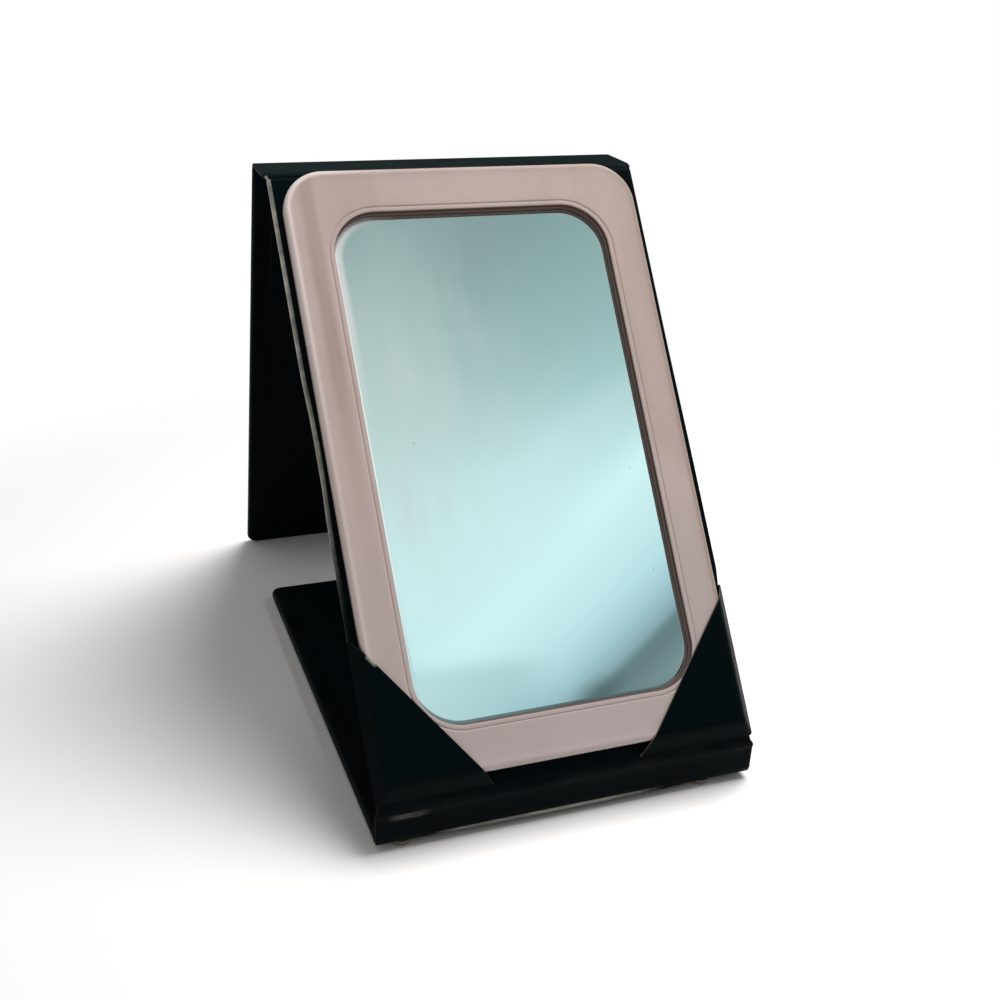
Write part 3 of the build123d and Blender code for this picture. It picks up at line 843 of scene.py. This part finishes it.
# Long soft flow marks along the moulding, cloudier patches across it, and the fine pores of its skin
flow_group, given, result = group(
    "moulded_flow", {"Vector": None, "Marks per metre": 30.0}, ("Flow", "Clouds", "Skin"))
tree, spot = flow_group, given["Vector"]
lengthwise = node(tree, "Mapping", (-11, 0), Vector=spot, Rotation=(-panel_heading, 0, 0))
drawn = stretched(tree, lengthwise.outputs[0], (-9, 0), (1.0, 0.14, 1.0))
feed(tree, result["Flow"], texture(tree, "Noise", drawn, (-6.5, 1), Scale=given["Marks per metre"],
                                   Detail=4.0, Roughness=0.6))
feed(tree, result["Clouds"], texture(tree, "Noise", spot, (-6.5, -1.5), Scale=26.0, Detail=4.0,
                                     Roughness=0.6))
feed(tree, result["Skin"], texture(tree, "Noise", spot, (-6.5, -4), Scale=2600.0, Detail=3.0))

blush, blush_tan, blush_pale = (0.545, 0.425, 0.400), (0.475, 0.385, 0.350), (0.59, 0.48, 0.465)
blush_painted_cool_light, blush_painted_highlight, blush_shadow = (0.50, 0.425, 0.430), (0.82, 0.70, 0.68), (0.38, 0.285, 0.245)
speck_brown, wall_painted_shade = (0.20, 0.13, 0.11), (0.060, 0.026, 0.018)
# Painted shade in a column at the left: where it comes in and goes out across the frame, in metres
shade_column_in, shade_column_out = (-0.0566, -0.0545), (-0.0502, -0.0517)
blush_plastic, tree, shader, spot = new_material("blush_plastic")
flow = placed(tree, flow_group, spot, (-9, 1), Marks_per_metre=55.0)
specks = ramped(tree, texture(tree, "Voronoi", spot, (-9, -3), Scale=95.0), (-6, -3),
                [(0.018, 1.0), (0.03, 0.0)])
across, _, height = node(tree, "SeparateXYZ", (-9, 7), Vector=spot).outputs
column = math(tree, "MULTIPLY", (-4, 9), ranged(tree, across, (-6, 9), *shade_column_in),
              ranged(tree, across, (-6, 11), *shade_column_out))
shade_strength = math(tree, "MULTIPLY", (-4, 13), ranged(tree, height, (-6, 13), 0.07, 0.14, to_high=0.9),
             ranged(tree, flow["Flow"], (-6, 15), 0.25, 0.60, 0.35))
colour = blush
for step, (share, tint) in enumerate((
        (ramped(tree, flow["Flow"], (-7, 4), [(0.36, 0.0), (0.66, 1.0)]), blush_tan),
        (ranged(tree, flow["Clouds"], (-5, 0), 0.50, 0.75, to_high=0.6), blush_pale),
        (math(tree, "MULTIPLY", (-3, -3), specks, 0.35), speck_brown),
        # painted cooler light low down on the frame
        (ranged(tree, height, (-6, 7), 0.11, 0.02, to_high=0.8), blush_painted_cool_light),
        # painted shade in the column at the left
        (math(tree, "MULTIPLY", (-2, 11), column, shade_strength), blush_shadow),
        (mark(tree, "rim_highlight", (-0.5, 7)), blush_painted_highlight),
        (mark(tree, "shade", (-0.5, 9)), blush_shadow),
        # painted shade on the wall down to the glass
        (mark(tree, "shaded_wall", (-0.5, 13)), wall_painted_shade))):
    colour = mixed(tree, (-4.5 + 1.3 * step, 3), share, colour, tint)
dress(tree, shader, Base_Color=colour, Specular_IOR_Level=0.35,
      Roughness=math(tree, "MULTIPLY_ADD", (2.5, 0), mark(tree, "shaded_wall", (0, -1.5)), 0.3,
                     ranged(tree, flow["Clouds"], (0, 0.5), 0.3, 0.7, 0.34, 0.46)))
bumped(tree, shader, flow["Skin"], 0.18, 0.00003)
tray.data.materials.append(blush_plastic)
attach(tray, "mirror_panel")
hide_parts("mirror_frame")

# ---------------------------------------------- Mirror's glass
# Silvered float glass with a narrow ground bevel, dropped into the tray from behind. It carries a film of
# wiped haze at the upper left, a few specks, and a painted highlight along the bevel at the left, where
# less metal lets the pale silver show.
# Its rings: (distance out from the opening, level above the panel's middle plane, share of the painted
# highlight)
glass_profile = [(2.1, 2.45, 0.0), (2.1, 3.10, 0.0), (0.15, 3.13, 1.0), (-0.45, 3.31, 1.0),
                 (-1.5, 3.31, 1.0), (-3.2, 3.31, 0.0)]
glass_verts, bevel_highlight = [], []
for grow, level, near in glass_profile:
    for place in ring(opening, grow, level):
        leftward = ease((-place.x / mm - 24.0) / 20.0)
        upward = ease((place.z / mm - 112.0) / 45.0)
        glass_verts.append(place)
        bevel_highlight.append(near * leftward * (0.10 + 0.60 * upward))
around = len(glass_verts) // len(glass_profile)
faces = strips(len(glass_profile), around)
faces += [tuple(start + step for step in range(around)) for start in (0, len(glass_verts) - around)]
glass = finished("mirror_plate", glass_verts, faces, {"bevel_highlight": bevel_highlight}, flat_faces=2 + around)

silver, haze_white, speck_grey = (0.955, 0.965, 0.965), (1.0, 0.98, 0.96), (0.30, 0.34, 0.34)
silvered, tree, shader, spot = new_material("silvered_glass")
over_panel = node(tree, "Mapping", (-12, 0), vector_type="TEXTURE", Vector=spot,
                  Location=(0, knee.x * mm, knee.y * mm), Rotation=(panel_heading, 0, 0)).outputs[0]
across, along, _ = node(tree, "SeparateXYZ", (-10, -3), Vector=over_panel).outputs
streaks = texture(tree, "Noise", stretched(tree, over_panel, (-10, 3), (1.0, 0.10, 1.0)), (-8, 3),
                  Scale=130.0, Detail=5.0, Roughness=0.6)
blotches = texture(tree, "Noise", over_panel, (-8, 0), Scale=42.0, Detail=4.0, Roughness=0.55)
film = math(tree, "MULTIPLY", (-4.5, -3), ranged(tree, across, (-7, -2.5), 0.030, -0.035),
            ranged(tree, along, (-7, -4.5), 0.035, 0.120))
thinned = ranged(tree, along, (-7, -6.5), 0.135, 0.185, 1.0, 0.35)
smeared = math(tree, "MULTIPLY", (-4.5, 2), ranged(tree, streaks, (-6, 3), 0.30, 0.66, 0.45),
               ranged(tree, blotches, (-6, 1), 0.32, 0.62, 0.5))
film = math(tree, "MULTIPLY", (-3.5, -4), film, thinned)
haze = math(tree, "MULTIPLY", (-2.5, 0), film, smeared, clamp=True)
specks = ramped(tree, texture(tree, "Voronoi", spot, (-8, -9), Scale=70.0), (-5.5, -9),
                [(0.010, 1.0), (0.018, 0.0)])
colour = mixed(tree, (0, 3), haze, silver, haze_white)
dress(tree, shader, Base_Color=mixed(tree, (2, 3), specks, colour, speck_grey),
      Roughness=math(tree, "MULTIPLY_ADD", (2, 0), haze, 0.30,
                     math(tree, "MULTIPLY_ADD", (0, 0), specks, 0.3, 0.035)),
      # less metal where the painted highlight lies along the bevel
      Metallic=math(tree, "MULTIPLY_ADD", (2, -3), mark(tree, "bevel_highlight", (-2.5, -2.5)), -0.9,
                    math(tree, "MULTIPLY_ADD", (2, -1.5), haze, -0.15, 1.0)))
glass.data.materials.append(silvered)
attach(glass, "mirror_panel")
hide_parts("mirror_glass")

# ---------------------------------------------- Corner pockets
# Triangles of the same leather, glued round the panel's edges and stretched up over the tray's lower
# corners. Their slanting mouths are cut, not turned in, so the cut shows as a thin lighter line.
pocket_outside, pocket_foot = 64.6, 2.0
pocket_side_length, pocket_end_lengths = 52.0, {-1: 37.8, 1: 41.1}
pocket_leather = 0.58
pocket_low, pocket_top = 1.5, 6.95
side_run, end_run = 4.2, 5.0                # how far in from an edge a pocket reaches its top
pocket_puff = 0.12
mouth_steps = 52


def soft_least(first, second, reach):
    """The lesser of two heights, rounded where they meet"""
    share = max(reach - abs(first - second), 0.0) / reach
    return min(first, second) - share * share * reach / 4


def pocket_point(x, up, side):
    """Height of a pocket's outer face at a place, and how close that place is to the fold over the edge"""
    rise_side = pocket_low + (pocket_outside - x) * (pocket_top - pocket_low) / side_run
    rise_end = pocket_low + (up - pocket_foot) * (pocket_top - pocket_low) / end_run
    puff = pocket_puff * noise.noise(Vector((x / 16, up / 16, side * 7.0)))
    level = soft_least(soft_least(rise_side, rise_end, 1.6), pocket_top - 0.1 + puff, 1.5)
    return max(level, pocket_low), 1 - ease(abs(min(rise_side, rise_end) - pocket_top) / 1.1)


def corner_pocket(name, side):
    """One pocket as a closed skin; side is -1 for left and 1 for right"""
    rows = [0.015] + [step / 26 for step in range(1, 26)] + [0.994, 1.0]
    inner_side, inner_foot = pocket_outside - pocket_leather, pocket_foot + pocket_leather
    verts, marks = [], []
    for row in rows:
        outer, inner = [], []
        for step in range(mouth_steps + 1):
            share = (1 - cos(pi * step / mouth_steps)) / 2
            x = pocket_outside - pocket_end_lengths[side] * row * share
            up = pocket_foot + pocket_side_length * row * (1 - share)
            level, fold = pocket_point(x, up, side)
            under = max(level - pocket_leather, pocket_low + 0.02)
            outer.append((x, up, level, fold))
            inner.append((min(x, inner_side), max(up, inner_foot), under, 0.0))
        start = outer[0][1]
        flap = [(pocket_outside - inset, start, level, 0.0)
                for inset, level in ((0.56, -pocket_low), (0.50, -pocket_low + 0.10), (0.24, 0.2))]
        lining = [(inner_side, start, level, 0.0) for level in (0.6, 0.0, -pocket_low)]
        cut = (row == 1.0) * (1.0 if side > 0 else 0.25)
        for x, up, level, fold in flap + outer + inner[::-1] + lining:
            # A painted highlight where the left pocket's mouth lifts at its top
            lifted_highlight = row > 0.99 and side < 0 and 57.4 < x < 59.9 and level > 3.0
            verts.append(on_panel(side * x, up, level))
            marks.append((fold, cut, 1.0 if lifted_highlight else 0.0))
    around = len(verts) // len(rows)
    faces = strips(len(rows), around)
    half = around // 2
    for start in (0, len(verts) - around):
        faces += [(start + step, start + step + 1, start + around - 2 - step, start + around - 1 - step)
                  for step in range(half - 1)]
    return finished(name, verts, faces, dict(zip(("edge", "cut", "wear_and_highlight"), zip(*marks))),
                    flat_faces=2 * (half - 1))


pocket_material = leather_material("pocket_leather", 1700.0, 0.40, 0.42, 0.2, 0.00010)
for name, side in (("left_pocket", -1), ("right_pocket", 1)):
    pocket = corner_pocket(name, side)
    pocket.data.materials.append(pocket_material)
    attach(pocket, "mirror_panel")
    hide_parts("left_corner_pocket" if side < 0 else "right_corner_pocket")
